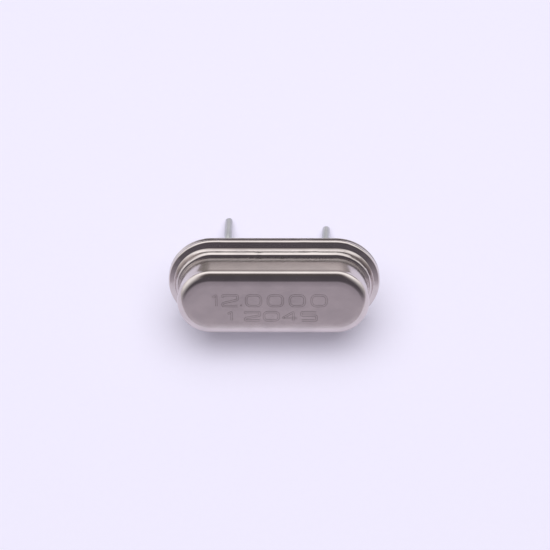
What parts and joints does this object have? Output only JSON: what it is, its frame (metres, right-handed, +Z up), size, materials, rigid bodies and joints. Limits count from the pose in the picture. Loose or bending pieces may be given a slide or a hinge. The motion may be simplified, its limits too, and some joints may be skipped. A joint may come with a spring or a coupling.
{
  "type": "quartz crystal resonator",
  "caption": "Low oblong metal can with a stepped foot and flange, welded to a base plate with glass-sealed wire leads, resting on its side.",
  "frame": {"origin": "middle of the footprint of the lying crystal, on the surface it lies on", "axes": "+X along the can to the right lead, +Y from the top of the can back along the leads, +Z up"},
  "size_m": [0.011, 0.0092, 0.0048],
  "materials": {
    "nickel_can": "satin bright nickel plating on drawn steel",
    "nickel_base": "satin nickel plating on stamped steel",
    "seal_glass": "dark sealing glass, fired smooth",
    "lead_wire": "dull tinned wire",
    "spring_metal": "rolled nickel silver strip",
    "quartz": "lapped and etched quartz",
    "silver_film": "evaporated silver film",
    "silver_adhesive": "matt silver-filled adhesive"
  },
  "bodies": {
    "root": {"can_cover": "nickel_can", "base_plate": "nickel_base", "glass_seal_left": "seal_glass", "glass_seal_right": "seal_glass", "lead_left": "lead_wire", "lead_right": "lead_wire", "spring_clip_left": "spring_metal", "spring_clip_right": "spring_metal", "quartz_strip": "quartz", "electrode_top": "silver_film", "electrode_bottom": "silver_film", "adhesive_left": "silver_adhesive", "adhesive_right": "silver_adhesive"}
  },
  "joints": []
}
